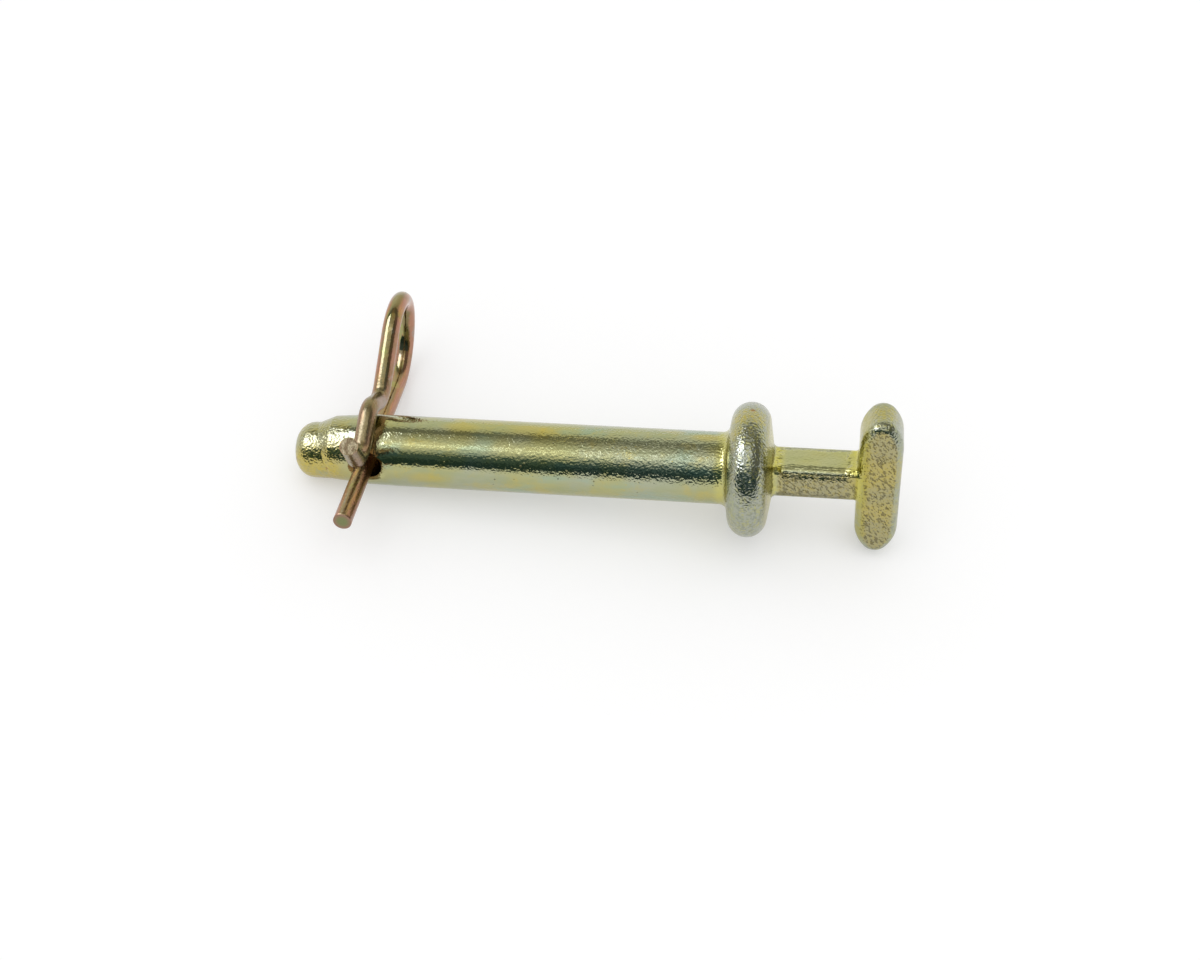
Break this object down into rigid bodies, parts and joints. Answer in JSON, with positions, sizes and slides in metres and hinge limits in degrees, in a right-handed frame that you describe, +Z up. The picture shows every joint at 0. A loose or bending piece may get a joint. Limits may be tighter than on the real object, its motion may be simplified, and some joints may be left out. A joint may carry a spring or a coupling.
{
  "type": "t-handle clevis pin",
  "caption": "Forged clevis pin with a T-bar handle, a rounded shoulder and a cross hole holding a bent-wire hairpin clip.",
  "frame": {"origin": "centre of the bounding box on the table it lies on", "axes": "+X from the nose toward the T-handle, +Z up off the table, +Y toward the loop of the clip"},
  "size_m": [0.1348, 0.064, 0.0354],
  "materials": {
    "forging_zinc": "forged steel, yellow zinc plated, glossy with a pebbled skin",
    "wire_zinc": "drawn spring wire, iridescent yellow zinc plated, glossy"
  },
  "bodies": {
    "pin": {"pin": "forging_zinc"},
    "clip": {"hairpin_clip": "wire_zinc"}
  },
  "joints": [
    {"name": "clip_pull", "type": "slide", "parent": "pin", "child": "clip", "axis": [0.0208, 0.9733, -0.2287], "range_m": [0, 0.045], "deforming": ["hairpin_clip"]}
  ]
}
